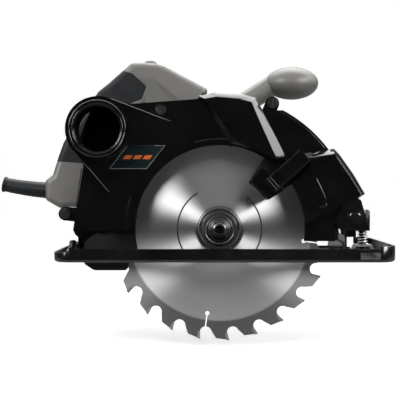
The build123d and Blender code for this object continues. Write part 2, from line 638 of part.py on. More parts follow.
def make_side_cover():
    shell = prism_y(ground_outline(), GROUND, HOUSING_FRONT)
    shell += duct_section()
    shell += central_section()
    shell += low_right_section()
    shell += cylinder_y(24.0, PORT_Y + 6, GROUND, PORT_X, PORT_Z)
    shell -= cylinder_y(WINDOW_R, -60, 0)
    swept = disc(98.0) & (panel(-120, 0, 0, 160) + panel(0, 92, 0, 160))
    shell -= prism_y(swept, GROUND + COVER_T, 0)
    shell -= prism_y(panel(-80, 0, 0, 25), -60, 0)
    chute = outline([(-92, 56), (-110.5, 56), (-107.5, 78), (-113.5, 92), (-104, 122), (-76, 116), (-62, 86)], 2)
    shell -= prism_y(chute - disc(95.0), GROUND + COVER_T, 0)
    shell -= cylinder_y(21.9, PORT_Y, 0, PORT_X, PORT_Z)
    shell -= prism_y(panel(94, 140, 0, 100), -13.2, 0)
    for x, z in COVER_SCREWS:
        shell += prism_y(
            capsule((x, z), polar(HOUSING_R + 2, degrees(atan2(z - ARBOR_Z, x))), 5.6), -12.5, HOUSING_FRONT
        )
    for x, z in COVER_SCREWS:
        shell -= cylinder_y(SCREW_R + 0.03, -40, 0, x, z)
        shell -= cylinder_y(4.5, -40, -12.5, x, z)
    shell -= prism_y(badge_outline(0.15), GROUND - 9, GROUND + 1.0)
    return shell


def badge_outline(grow=0.0):
    return outline([
        (-75.2 - grow, 94.6 + grow), (-44.4 + grow * 2, 94.6 + grow), (-59.4 + grow, 75.5 - grow),
        (-90.0 - grow * 2, 75.5 - grow),
    ])


def make_badge():
    plate = prism_y(badge_outline(), GROUND - 0.6, GROUND + 1.0)
    emblem = prism_y(outline([(-79, 83), (-57, 83), (-53.5, 87), (-75.5, 87)]), GROUND - 0.9, GROUND - 0.6)
    return plate + emblem


def make_dust_port_ring():
    """The hose socket: a collar with a stepped mouth."""
    ring = cylinder_y(22.3, PORT_Y + 2, PORT_Y + 6, PORT_X, PORT_Z)
    ring += cylinder_y(23.4, PORT_Y, PORT_Y + 4, PORT_X, PORT_Z)
    ring += cylinder_y(21.85, PORT_Y + 4, GROUND + 3, PORT_X, PORT_Z)
    return ring - cylinder_y(HOSE_R, PORT_Y - 1, GROUND + 4, PORT_X, PORT_Z)


# Lower guard: a turning shell round the blade's edge, with its lever on the near side
REST_START, REST_END = 41.0, 199.8
LEVER_ANGLE = 41.8
LEVER_ROOT_Y = PLATE_Y0 + DECK_T + 0.4
GUARD_NEAR, GUARD_FAR, GUARD_T = -8.0, 6.5, 1.4
BLADE_CLEAR_R = 94.6


def guard_toe():
    corners = [
        (-80, 21.8), (-103, 21.8), (-110.5, 16), (-113.2, 6), (-111.0, -2.5), (-103, -7.7), (-76.0, -7.7), (-72.5, 4),
    ]
    return outline(corners, [1, 6, 4, 4, 4, 6, 3, 1])


def make_lower_guard():
    """Two walls and a rim round the blade's edge, a toe at the closing end and a hub on the boss."""
    profile = ring_sector(20, GUARD_R, REST_START, REST_END) + guard_toe()
    cavity = ring_sector(10, BLADE_CLEAR_R, REST_START - 9, REST_END + 16)
    shell = prism_y(profile, GUARD_NEAR, GUARD_FAR)
    shell -= prism_y(cavity, GUARD_NEAR + GUARD_T, GUARD_FAR - GUARD_T)
    shell -= cylinder_y(WINDOW_R, GUARD_NEAR - 1, GUARD_NEAR + GUARD_T + 0.1)
    shell += cylinder_y(24.0, GUARD_FAR - 1.3, GUARD_FAR + 3)
    shell -= cylinder_y(BOSS_R + 0.06, -9, 20)
    return shell + prism_y(ring_sector(45, 72, 32, 58), GUARD_NEAR, GUARD_NEAR + GUARD_T)


def make_guard_lever():
    """A bar in front of the cover, on a root block that reaches back to the guard's near wall."""
    root = ring_sector(46, 61, 32, 57)
    lever = prism_y(root, LEVER_ROOT_Y, GUARD_NEAR)
    bar = strip(polar(52, LEVER_ANGLE), polar(91, LEVER_ANGLE), 6.0)
    lever += prism_y(bar, -32, -23.5)
    return lever


def make_guard_spring():
    return tube_y(29.0, 25.5, GUARD_FAR + 0.4, WALL_Y0 - 0.3)


def make_guard_ring():
    ring = tube_y(23.4, 19.45, 3.9, 5.0)
    return ring - block(-2.5, 2.5, 3, 6, ARBOR_Z + 15, ARBOR_Z + 26)


# Gear case, motor housing and end cap
def case_outline(shrink=0.0):
    return disc(MOTOR_R - shrink, MOTOR_X, MOTOR_Z) + disc(22.8 - shrink)


LOCK_Y = 29.3


def make_gear_case():
    case = prism_y(case_outline(), WALL_Y1, CASE_Y1)
    case -= cylinder_y(20.6, WALL_Y1 - 1, 31.6) + cylinder_y(7.0, WALL_Y1 - 1, 34, MOTOR_X, MOTOR_Z)
    case -= cylinder_y(9.0, 31, 38) + cylinder_y(5.0, 37, 40)
    case -= cylinder_y(11.0, 34, CASE_Y1 + 1, MOTOR_X, MOTOR_Z)
    hollow = disc(36.5, MOTOR_X, MOTOR_Z) - disc(14, MOTOR_X, MOTOR_Z) - disc(24.5)
    for x, z in CASE_SCREWS:
        hollow -= disc(6, x, z)
    case -= prism_y(hollow, 18, CASE_Y1 + 1)
    case += cylinder_x(6.5, 24, 30.5, LOCK_Y, ARBOR_Z)
    case -= cylinder_y(20.6, WALL_Y1 - 1, 31.6)
    case -= cylinder_x(2.0, 12, 40, LOCK_Y, ARBOR_Z)
    for x, z in CASE_SCREWS:
        case -= cylinder_y(SCREW_R + 0.03, 10, 24, x, z)
    for x, z in HOUSING_SCREWS:
        case += cylinder_y(4.4, 36, CASE_Y1, x, z) & cylinder_y(MOTOR_R, 0, 60, MOTOR_X, MOTOR_Z)
        case -= cylinder_y(SCREW_R + 0.03, 37, CASE_Y1 + 1, x, z)
    case -= front_bolt_shape(3.1)
    return case - cylinder_y(17.0, 12, 16)


def make_motor_housing():
    housing = tube_y(MOTOR_R, 37.05, CASE_Y1, MOTOR_Y1, MOTOR_X, MOTOR_Z)
    housing += tube_y(38, STATOR_R + 0.05, CORE_Y0 - 2, CORE_Y1 + 2, MOTOR_X, MOTOR_Z)
    for x, z in HOUSING_SCREWS:
        housing += cylinder_y(4.4, CASE_Y1, MOTOR_Y1, x, z) & cylinder_y(MOTOR_R, 0, 200, MOTOR_X, MOTOR_Z)
        housing -= cylinder_y(SCREW_R + 0.03, CASE_Y1 - 1, MOTOR_Y1 + 1, x, z)
    for step in range(18):
        start = 20 * step + 4
        if min(abs((start + 4 - a) % 360) for a in (0, 180)) < 20:
            continue
        slot = ring_sector(36, 43, start, start + 8, MOTOR_X, MOTOR_Z)
        if min(abs((start + 4 - a + 180) % 360 - 180) for a in (45, 135, 225, 315)) > 11:
            housing -= prism_y(slot, 107, 125)
    for step in range(5):
        start = 250 + 9 * step
        housing -= prism_y(ring_sector(36, 43, start, start + 4.5, MOTOR_X, MOTOR_Z), 48, 57)
    return housing - cylinder_x(7.05, MOTOR_X - 50, MOTOR_X + 50, 113, MOTOR_Z)


def make_end_cap():
    cap = cylinder_y(MOTOR_R, MOTOR_Y1, CAP_Y1, MOTOR_X, MOTOR_Z)
    cap = fillet(cap.edges().group_by(Axis.Y)[-1], 5)
    cap -= cylinder_y(36, MOTOR_Y1 - 1, CAP_Y1 - 3, MOTOR_X, MOTOR_Z)
    cap += tube_y(14.5, 11.0, 122, CAP_Y1 - 2, MOTOR_X, MOTOR_Z)
    for x, z in HOUSING_SCREWS:
        cap += cylinder_y(4.4, MOTOR_Y1, CAP_Y1 - 2.5, x, z) & cylinder_y(MOTOR_R, 0, 200, MOTOR_X, MOTOR_Z)
    for row in range(-3, 4):
        if row == 0:
            continue
        half = 26 - 3.2 * abs(row)
        z = MOTOR_Z + 6.6 * row
        inner = 16.5
        for side in (-1, 1):
            x0, x1 = sorted((MOTOR_X + inner * side, MOTOR_X + (inner + half * 0.6) * side))
            cap -= block(x0, x1, CAP_Y1 - 4, CAP_Y1 + 1, z - 1.5, z + 1.5)
    for x, z in HOUSING_SCREWS:
        cap -= cylinder_y(SCREW_R + 0.03, MOTOR_Y1 - 1, CAP_Y1 + 1, x, z)
        cap -= cylinder_y(4.5, CAP_Y1 - 3.5, CAP_Y1 + 1, x, z)
    return cap


# Rear handle: two shells round a hand gap, with trigger, switch and lock-off button
GRIP_TOP = (-64.0, 131.0)
GRIP_DOWN = (-0.61, -0.79)
GRIP_OUT = (0.79, -0.61)
TRIGGER_Y0, TRIGGER_Y1 = 37.0, 53.0
BUTTON_X = -59.5
TAIL_Z = 57.4
HANDLE_SCREWS = [(-24, 140), (-84, 146), (-118, 96), (-134, 70), (-62, 58)]


def grip_point(down, out):
    return (
        GRIP_TOP[0] + GRIP_DOWN[0] * down + GRIP_OUT[0] * out,
        GRIP_TOP[1] + GRIP_DOWN[1] * down + GRIP_OUT[1] * out,
    )


def grip_box(down0, down1, out0, out1, y0, y1):
    corners = [(down0, out0), (down1, out0), (down1, out1), (down0, out1)]
    return prism_y(outline([grip_point(*corner) for corner in corners]), y0, y1)


def handle_outline():
    body = outline([
        (-9.3, 145), (-14, 128), (-14, 60), (-30, 36), (-128, 43.5), (-137, 42.5), (-149, 49.5),
        (-149.5, 66), (-143, 71), (-138, 87), (-133.5, 99.5), (-103.6, 143), (-94, 150.7), (-75, 167.7),
        (-65, 167.7), (-53.6, 167), (-47.2, 165.2),
    ], 3)
    return body


def hand_gap(grow=0.0):
    gap = outline([(-64, 131), (-58, 137.5), (-37, 128), (-41, 97), (-54, 76), (-103, 76)], 6)
    return offset(gap, grow) if grow else gap


def handle_block():
    block_full = prism_y(handle_outline() - hand_gap(), HANDLE_Y0, HANDLE_Y1)
    rims = block_full.edges().filter_by_position(Axis.Y, HANDLE_Y0 - 0.1, HANDLE_Y0 + 0.1)
    rims += block_full.edges().filter_by_position(Axis.Y, HANDLE_Y1 - 0.1, HANDLE_Y1 + 0.1)
    return fillet(rims, 5)


def handle_cavity():
    inner = offset(handle_outline(), -3.2) - hand_gap(3.2)
    return prism_y(inner, HANDLE_Y0 + 3.2, HANDLE_Y1 - 3.2)


def soft_zone():
    """Where the rubber lies over the grip's back and flanks."""
    return outline([
        (-62, 147), (-74, 158), (-100, 166), (-145, 110), (-145, 83), (-116, 81), (-98, 106), (-74, 133),
        (-66, 136),
    ], 2)


def make_soft_grips():
    skin = handle_block() & prism_y(soft_zone(), HANDLE_Y0 - 1, HANDLE_Y1 + 1)
    skin -= prism_y(offset(handle_outline(), -1.5), HANDLE_Y0 + 1.5, HANDLE_Y1 - 1.5)
    near = skin & block(-200, 0, HANDLE_Y0 - 2, HANDLE_MID, 0, 200)
    return near, skin & block(-200, 0, HANDLE_MID, HANDLE_Y1 + 2, 0, 200)


def make_handle_half(near):
    y0, y1 = (HANDLE_Y0 - 1, HANDLE_MID) if near else (HANDLE_MID, HANDLE_Y1 + 1)
    solid = handle_block() - handle_cavity()
    for x, z in HANDLE_SCREWS:
        solid += cylinder_y(4.6, HANDLE_Y0 + 3, HANDLE_Y1 - 3, x, z)
    half = solid & block(-200, 60, y0, y1, 0, 200)
    half -= prism_y(case_outline(-0.05), 0, 200)
    for skin in make_soft_grips():
        half -= skin
    for x, z in HANDLE_SCREWS:
        half -= cylinder_y(SCREW_R + 0.03, HANDLE_Y0 + 6, HANDLE_Y1 + 1, x, z)
        half -= cylinder_y(4.5, HANDLE_Y1 - 4, HANDLE_Y1 + 1, x, z)
    half -= grip_box(3.5, 30.5, -14.9, 14, TRIGGER_Y0 - 0.4, TRIGGER_Y1 + 0.4)
    half -= cylinder_z(5.8, 154, 180, BUTTON_X, HANDLE_MID)
    half -= cylinder_x(7.25, -160, -145.5, HANDLE_MID, TAIL_Z)
    return half


def make_trigger():
    corners = [(4, -9), (4, 3), (9, 8), (17, 6.6), (25, 8.5), (30, 4), (30, -9)]
    face = outline([grip_point(*corner) for corner in corners], [1, 2, 2.5, 6, 2.5, 2, 1])
    trigger = prism_y(face, TRIGGER_Y0, TRIGGER_Y1)
    return trigger


def make_trigger_spring():
    x0, z0 = grip_point(17, -9.3)
    x1, z1 = grip_point(17, -15.9)
    middle = Vector((x0 + x1) / 2, HANDLE_MID, (z0 + z1) / 2)
    plane = Plane(origin=middle, z_dir=(x0 - x1, 0, z0 - z1))
    return plane * (Cylinder(3.2, 6.6) - Cylinder(2.3, 8))


def make_switch():
    return grip_box(5, 29, -27, -16, TRIGGER_Y0, TRIGGER_Y1)


def make_lock_off_button():
    button = cylinder_z(5.4, 158, 171.0, BUTTON_X, HANDLE_MID)
    button = fillet(button.edges().group_by(Axis.Z)[-1], 3)
    return button


def make_lock_off_spring():
    return cylinder_z(3.6, 151, 157.8, BUTTON_X, HANDLE_MID) - cylinder_z(2.7, 150, 159, BUTTON_X, HANDLE_MID)


def make_cord_sleeve():
    """Hollow rubber sleeve that keeps the cord from kinking, curving up behind the tail."""
    path = ThreePointArc((-146, HANDLE_MID, TAIL_Z), (-168, HANDLE_MID, TAIL_Z + 1.4), (-188, HANDLE_MID, 63.2))
    section = Plane(origin=(-146, HANDLE_MID, TAIL_Z), z_dir=(path % 0)) * (Circle(7.2) - Circle(3.7))
    return sweep(section, path=path)


def make_cord_clamp():
    clamp = block(-141, -133, HANDLE_MID - 8, HANDLE_MID + 8, 50, 64)
    return clamp - cylinder_x(3.6, -142, -132, HANDLE_MID, TAIL_Z)


# Front handle: an egg-shaped knob on a bent neck
KNOB_X, KNOB_Z = 64.0, 151.3
NECK_BEND = (22.0, 133.0)
FRONT_BOLT_START = Vector(1.6, 39.0, 76)
FRONT_BOLT_END = Vector(16, 39.0, 120)


def make_front_handle():
    knob = Pos(KNOB_X, HANDLE_MID, KNOB_Z) * scale(Sphere(10), by=(2.33, 1.9, 1.43))
    bend = Vector(NECK_BEND[0], HANDLE_MID, NECK_BEND[1])
    foot = Vector(3, HANDLE_MID, 80)
    tip = Vector(48, HANDLE_MID, 150)
    lower = Plane(origin=foot, z_dir=bend - foot) * Cone(
        11.5, 9.5, (bend - foot).length, align=(Align.CENTER, Align.CENTER, Align.MIN)
    )
    upper = Plane(origin=bend, z_dir=tip - bend) * Cone(
        9.5, 9.0, (tip - bend).length, align=(Align.CENTER, Align.CENTER, Align.MIN)
    )
    handle = knob + lower + upper + Pos(bend) * Sphere(9.5)
    handle -= front_bolt_shape(3.05)
    return handle - prism_y(case_outline(-0.05), 0, 200)


def front_bolt_shape(radius):
    """A rod along the neck's lower run, from inside the gear case."""
    run = FRONT_BOLT_END - FRONT_BOLT_START
    return Plane(origin=FRONT_BOLT_START, z_dir=run) * Cylinder(
        radius, run.length, align=(Align.CENTER, Align.CENTER, Align.MIN)
    )


def make_front_handle_bolt():
    head = Plane(origin=FRONT_BOLT_START, z_dir=FRONT_BOLT_START - FRONT_BOLT_END) * Cylinder(
        4.5, 2.5, align=(Align.CENTER, Align.CENTER, Align.MIN)
    )
    return front_bolt_shape(3.0) + head


# Small moving pieces on the castings
def make_lock_button():
    pin = cylinder_x(1.9, 14.4, 35, LOCK_Y, ARBOR_Z)
    head = cylinder_x(6.0, 34.6, 39.5, LOCK_Y, ARBOR_Z)
    return pin + fillet(head.edges().group_by(Axis.X)[-1], 1.2)


def make_lock_spring():
    return cylinder_x(3.4, 30.6, 34.5, LOCK_Y, ARBOR_Z) - cylinder_x(2.5, 30, 35, LOCK_Y, ARBOR_Z)


def make_depth_bolt():
    """The clamp bolt through the arm's slot, with a spacer against the guard housing."""
    x, z = DEPTH_BOLT
    bolt = cylinder_y(2.05, WALL_Y0 + 0.1, 27, x, z) + cylinder_y(6.0, WALL_Y1, ARM_Y0 - PART_GAP, x, z)
    return bolt + cylinder_y(3.0, WALL_Y1, ARM_Y1 + PART_GAP - 0.1, x, z)


def make_depth_lever():
    x, z = DEPTH_BOLT
    tip = (x - 38, z + 8)
    lever = cylinder_y(8.0, ARM_Y1 + PART_GAP, 26, x, z)
    lever += prism_y(strip((x, z), tip, 4.0) + disc(6.5, *tip), 20, 26)
    return lever - cylinder_y(2.1, 10, 40, x, z)


# Every piece under its name
keep("base_plate", make_base_plate())
keep("front_quadrant", make_front_quadrant())
keep("rear_bracket", make_rear_bracket())
keep("fence_bridge", make_fence_bridge())
keep("base_rivets", *make_rivets())
keep("fence_clamp_screw", make_fence_screw())
keep("fence_clamp_spring", make_fence_spring())
keep("bevel_pins", *make_bevel_pins())
keep("front_tilt_bracket", make_tilt_bracket())
keep("depth_arm", make_depth_arm())
keep("bevel_clamp_bolt", make_bevel_clamp_bolt())
keep("bevel_clamp_knob", make_bevel_knob())
keep("depth_pivot_pin", make_pivot_pin())
keep("saw_blade", make_blade())
keep("carbide_tips", *make_blade_tips())
keep("outer_flange", make_outer_flange())
keep("blade_bolt", make_blade_bolt())
keep("inner_flange", make_inner_flange())
keep("spindle", make_spindle())
keep("drive_gear", make_drive_gear())
keep("armature_shaft", make_armature_shaft())
keep("armature_core", make_armature_core())
keep("armature_windings", *make_armature_windings())
keep("commutator", make_commutator())
keep("motor_fan", make_fan())
keep(
    "ball_bearings",
    bearing(16.0, 7.5, 6.5, 15.5, 0, ARBOR_Z),
    bearing(9.0, 4.0, 32, 38, 0, ARBOR_Z),
    bearing(7.0, 2.43, 15.6, 18.6, MOTOR_X, MOTOR_Z),
    bearing(11.0, 4.0, 34.5, 41.5, MOTOR_X, MOTOR_Z),
    bearing(11.0, 4.0, 123, 130, MOTOR_X, MOTOR_Z),
)
keep("stator", make_stator())
keep("field_coils", *make_field_coils())
keep("brush_holders", *make_brush_holders())
keep("carbon_brushes", *make_carbon_brushes())
keep("brush_caps", *make_brush_caps())
keep("guard_housing", make_guard_housing())
keep("side_cover", make_side_cover())
keep("badge_plate", make_badge())
keep("dust_port_ring", make_dust_port_ring())
keep("cover_screws", *[pan_screw(x, z, -12.5, 2) for x, z in COVER_SCREWS])
keep("lower_guard", make_lower_guard())
keep("guard_lever", make_guard_lever())
keep("guard_spring", make_guard_spring())
keep("retaining_rings", make_guard_ring(), make_pivot_clip())
keep("gear_case", make_gear_case())
keep("case_screws", *[pan_screw(x, z, 9.9, 22) for x, z in CASE_SCREWS])
keep("motor_housing", make_motor_housing())
keep("end_cap", make_end_cap())
keep("housing_screws", *[pan_screw(x, z, CAP_Y1 - 3.5, 38) for x, z in HOUSING_SCREWS])
keep("handle_near", make_handle_half(True))
keep("handle_far", make_handle_half(False))
keep("handle_screws", *[pan_screw(x, z, HANDLE_Y1 - 4, HANDLE_Y0 + 7) for x, z in HANDLE_SCREWS])
keep("soft_grips", *make_soft_grips())
keep("trigger", make_trigger())
keep("button_springs", make_trigger_spring(), make_lock_off_spring(), make_lock_spring())
keep("power_switch", make_switch())
keep("lock_off_button", make_lock_off_button())
keep("cord_sleeve", make_cord_sleeve())
keep("front_handle", make_front_handle())
keep("spindle_lock_button", make_lock_button())
keep("depth_bolt", make_depth_bolt())
keep("depth_lever", make_depth_lever())
keep("cord_clamp", make_cord_clamp())
keep("front_handle_bolt", make_front_handle_bolt())

os.makedirs("parts", exist_ok=True)
for name, piece in pieces.items():
    export_step(piece, f"parts/{name}.step")
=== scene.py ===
import json
import math

import bpy
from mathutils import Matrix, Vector


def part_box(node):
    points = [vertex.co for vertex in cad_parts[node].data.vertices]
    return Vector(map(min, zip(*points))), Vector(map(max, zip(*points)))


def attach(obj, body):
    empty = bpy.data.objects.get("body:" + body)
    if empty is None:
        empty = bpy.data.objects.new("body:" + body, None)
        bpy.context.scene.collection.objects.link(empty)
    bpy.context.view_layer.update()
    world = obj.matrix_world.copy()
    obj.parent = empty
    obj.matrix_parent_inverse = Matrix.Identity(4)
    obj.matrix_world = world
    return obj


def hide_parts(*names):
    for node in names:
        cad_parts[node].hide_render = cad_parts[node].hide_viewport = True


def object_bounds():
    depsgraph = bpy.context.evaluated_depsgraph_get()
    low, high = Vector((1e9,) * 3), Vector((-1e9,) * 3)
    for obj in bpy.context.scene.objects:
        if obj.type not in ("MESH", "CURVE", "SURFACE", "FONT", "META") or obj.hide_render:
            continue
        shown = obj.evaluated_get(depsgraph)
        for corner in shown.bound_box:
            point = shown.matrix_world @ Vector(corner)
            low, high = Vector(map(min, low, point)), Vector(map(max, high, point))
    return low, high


# Hand-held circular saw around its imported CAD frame. The frame, the lights and the floor are in metres.
# Pieces are drawn in millimetres, and MM turns those into metres.
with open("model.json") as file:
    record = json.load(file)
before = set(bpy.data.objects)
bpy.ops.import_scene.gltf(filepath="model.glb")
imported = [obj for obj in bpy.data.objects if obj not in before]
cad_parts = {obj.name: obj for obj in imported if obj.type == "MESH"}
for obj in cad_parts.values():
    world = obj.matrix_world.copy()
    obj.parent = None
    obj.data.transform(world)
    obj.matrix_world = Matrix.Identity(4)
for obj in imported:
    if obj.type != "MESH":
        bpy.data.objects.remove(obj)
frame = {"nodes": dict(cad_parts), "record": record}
CAD_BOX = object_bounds()
NODES = frame["nodes"]
MM = 0.001


# Places taken from the frame
def box_mm(node):
    """The low and high corners of a CAD node's box, in millimetres."""
    low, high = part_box(node)
    return low / MM, high / MM


def middle_mm(node):
    """The middle of a CAD node's box, in millimetres."""
    low, high = box_mm(node)
    return (low + high) / 2


BLADE_LOW, BLADE_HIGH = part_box("saw_blade")
ARBOR = (BLADE_LOW + BLADE_HIGH) / 2
# The arbor again, in millimetres
AX, AZ = ARBOR.x / MM, ARBOR.z / MM


# Node helpers
def new_material(name):
    """A node material, with its tree and its Principled shader."""
    made = bpy.data.materials.new(name)
    made.use_nodes = True
    tree = made.node_tree
    tree.nodes.clear()
    out = tree.nodes.new("ShaderNodeOutputMaterial")
    shader = tree.nodes.new("ShaderNodeBsdfPrincipled")
    tree.links.new(shader.outputs[0], out.inputs[0])
    return made, tree, shader


def set_shader(shader, **values):
    for key, value in values.items():
        shader.inputs[key.replace("_", " ")].default_value = value


def object_place(tree):
    """Object coordinates, which are the row frame's metres."""
    return tree.nodes.new("ShaderNodeTexCoord").outputs["Object"]


def noise(tree, place, scale, detail=3.0, roughness=0.55):
    node = tree.nodes.new("ShaderNodeTexNoise")
    node.inputs["Scale"].default_value = scale
    node.inputs["Detail"].default_value = detail
    node.inputs["Roughness"].default_value = roughness
    tree.links.new(place, node.inputs["Vector"])
    return node.outputs["Fac"]


def remap(tree, value, low, high, start=0.35, end=0.65):
    """Maps a value from start to end onto low to high. The defaults suit a noise."""
    node = tree.nodes.new("ShaderNodeMapRange")
    node.inputs["From Min"].default_value = start
    node.inputs["From Max"].default_value = end
    node.inputs["To Min"].default_value = low
    node.inputs["To Max"].default_value = high
    tree.links.new(value, node.inputs["Value"])
    return node.outputs["Result"]


def ramp(tree, value, stops):
    """A colour ramp through (position, (r, g, b)) stops."""
    node = tree.nodes.new("ShaderNodeValToRGB")
    elements = node.color_ramp.elements
    while len(elements) < len(stops):
        elements.new(0.5)
    for element, (position, colour) in zip(elements, stops):
        element.position = position
        element.color = (*colour, 1)
    tree.links.new(value, node.inputs["Fac"])
    return node.outputs["Color"]


def bump(tree, shader, height, strength, distance):
    node = tree.nodes.new("ShaderNodeBump")
    node.inputs["Strength"].default_value = strength
    node.inputs["Distance"].default_value = distance
    tree.links.new(height, node.inputs["Height"])
    tree.links.new(node.outputs["Normal"], shader.inputs["Normal"])


def grained(name, dark, light, metallic, rough, grain, grain_depth=0.02 * MM, strength=0.5, **extra):
    """A moulded, cast or plated surface: slow colour patches, uneven gloss and a fine grain."""
    patch = 14.0
    made, tree, shader = new_material(name)
    place = object_place(tree)
    slow = noise(tree, place, patch, 4.0)
    fine = noise(tree, place, grain, 2.0)
    tree.links.new(ramp(tree, slow, [(0.3, dark), (0.7, light)]), shader.inputs["Base Color"])
    tree.links.new(remap(tree, noise(tree, place, patch * 4), *rough), shader.inputs["Roughness"])
    set_shader(shader, Metallic=metallic, **extra)
    bump(tree, shader, fine, strength, grain_depth)
    return made


# Materials
DEEP_BLACK, SOFT_BLACK = (0.003, 0.003, 0.0035), (0.006, 0.006, 0.0065)
BLACK_PLASTIC = grained(
    "black_moulded", (0.0025, 0.0025, 0.003), (0.005, 0.005, 0.0055), 0, (0.11, 0.17), 900, strength=0.12
)
BLACK_CAST = grained(
    "black_cast", DEEP_BLACK, SOFT_BLACK, 0, (0.3, 0.42), 1400, strength=0.8, Specular_IOR_Level=0.3
)
BLACK_STEEL = grained("black_coated_steel", DEEP_BLACK, SOFT_BLACK, 0, (0.16, 0.25), 1100)
GREY_PLASTIC = grained(
    "grey_moulded", (0.155, 0.149, 0.137), (0.186, 0.18, 0.165), 0, (0.42, 0.55), 2200,
    grain_depth=0.05 * MM, strength=0.7
)
SOFT_RUBBER = grained(
    "soft_rubber", (0.0035, 0.0045, 0.006), (0.006, 0.008, 0.0105), 0, (0.45, 0.6), 1800,
    grain_depth=0.06 * MM, strength=0.9, Specular_IOR_Level=0.2
)
DARK_STEEL = grained("dark_steel", (0.05, 0.05, 0.052), (0.09, 0.09, 0.093), 1, (0.24, 0.36), 1600)
ZINC_STEEL = grained("zinc_steel", (0.45, 0.45, 0.44), (0.58, 0.58, 0.56), 1, (0.25, 0.38), 1500)
CAST_ALUMINIUM = grained(
    "cast_aluminium", (0.3, 0.31, 0.32), (0.38, 0.39, 0.4), 1, (0.4, 0.55), 1000, strength=0.9
)
COPPER = grained("copper", (0.5, 0.2, 0.09), (0.65, 0.3, 0.14), 1, (0.25, 0.4), 1200)
IRON = grained("laminated_iron", (0.09, 0.09, 0.1), (0.14, 0.14, 0.15), 1, (0.4, 0.55), 1200)
CARBON = grained("carbon", (0.02, 0.02, 0.02), (0.035, 0.035, 0.035), 0, (0.5, 0.7), 1500)
# Near-black, almost unreflective finish for the hose port's bore: painted shade for the inside of the deep
# port
BORE_SHADE = grained(
    "painted_bore_shade", (0.001, 0.001, 0.001), (0.002, 0.002, 0.002), 0, (0.75, 0.9), 1200, Specular_IOR_Level=0.05
)
CARBIDE = grained("carbide", (0.25, 0.25, 0.255), (0.34, 0.34, 0.345), 1, (0.3, 0.42), 2000)
EMBLEM = grained("badge_print", (0.005, 0.011, 0.012), (0.009, 0.018, 0.019), 0, (0.18, 0.25), 1200)
ORANGE = grained("orange_print", (0.62, 0.11, 0.012), (0.72, 0.14, 0.018), 0, (0.35, 0.45), 1200)
PRINT = grained("blade_print", (0.003, 0.003, 0.003), (0.006, 0.006, 0.006), 0, (0.6, 0.7), 1500)


def radial_distance(tree):
    """Distance in metres from the arbor's axis, in the blade's plane."""
    coords = tree.nodes.new("ShaderNodeTexCoord")
    shift = tree.nodes.new("ShaderNodeVectorMath")
    shift.operation = "SUBTRACT"
    shift.inputs[1].default_value = ARBOR
    tree.links.new(coords.outputs["Object"], shift.inputs[0])
    flat = tree.nodes.new("ShaderNodeVectorMath")
    flat.operation = "MULTIPLY"
    flat.inputs[1].default_value = (1, 0, 1)
    tree.links.new(shift.outputs[0], flat.inputs[0])
    length = tree.nodes.new("ShaderNodeVectorMath")
    length.operation = "LENGTH"
    tree.links.new(flat.outputs[0], length.inputs[0])
    return length.outputs["Value"]


RING_STARTS, RING_ENDS = 75 * MM, 77 * MM


def blade_steel():
    """Polished steel with circular grinding marks, and a duller, darker ring near the teeth."""
    made, tree, shader = new_material("ground_blade_steel")
    radius = radial_distance(tree)
    marks = tree.nodes.new("ShaderNodeTexNoise")
    marks.noise_dimensions = "1D"
    marks.inputs["Scale"].default_value = 2600
    marks.inputs["Detail"].default_value = 4
    tree.links.new(radius, marks.inputs["W"])
    polished = ramp(tree, marks.outputs["Fac"], [(0.3, (0.4, 0.4, 0.405)), (0.7, (0.58, 0.58, 0.585))])
    shade = tree.nodes.new("ShaderNodeMix")
    shade.data_type = "RGBA"
    shade.inputs["B"].default_value = (0.16, 0.16, 0.165, 1)
    tree.links.new(remap(tree, radius, 0, 1, RING_STARTS, RING_ENDS), shade.inputs["Factor"])
    tree.links.new(polished, shade.inputs["A"])
    tree.links.new(shade.outputs["Result"], shader.inputs["Base Color"])
    roughness = remap(tree, radius, 0.36, 0.5, RING_STARTS, RING_ENDS)
    roughness.node.interpolation_type = "SMOOTHSTEP"
    tree.links.new(roughness, shader.inputs["Roughness"])
    set_shader(shader, Metallic=1.0, Anisotropic=0.95, Anisotropic_Rotation=0.25)
    tangent = tree.nodes.new("ShaderNodeTangent")
    tangent.direction_type = "RADIAL"
    tangent.axis = "Y"
    tree.links.new(tangent.outputs[0], shader.inputs["Tangent"])
    bump(tree, shader, marks.outputs["Fac"], 0.25, 0.01 * MM)
    return made


FINISH = {
    "black_steel": BLACK_STEEL,
    "black_cast": BLACK_CAST,
    "black_plastic": BLACK_PLASTIC,
    "grey_plastic": GREY_PLASTIC,
    "soft_rubber": SOFT_RUBBER,
    "blade_steel": blade_steel(),
    "carbide": CARBIDE,
    "dark_steel": DARK_STEEL,
    "zinc_steel": ZINC_STEEL,
    "cast_aluminium": CAST_ALUMINIUM,
    "copper": COPPER,
    "laminated_iron": IRON,
    "carbon": CARBON,
    "emblem": EMBLEM,
}


def dress(name, finish, edge):
    """Gives a CAD node its material and, where edge is above zero, softened edges."""
    piece = NODES[name]
    piece.data.materials.clear()
    piece.data.materials.append(finish)
    if edge:
        weld = piece.modifiers.new("weld", "WELD")
        weld.merge_threshold = 0.002 * MM
        flat = piece.modifiers.new("flat", "DECIMATE")
        flat.decimate_type = "DISSOLVE"
        flat.angle_limit = math.radians(0.5)
        soft = piece.modifiers.new("edges", "BEVEL")
        soft.width = edge
        soft.segments = 2
        soft.limit_method = "ANGLE"
        soft.angle_limit = math.radians(32)
        soft.harden_normals = True


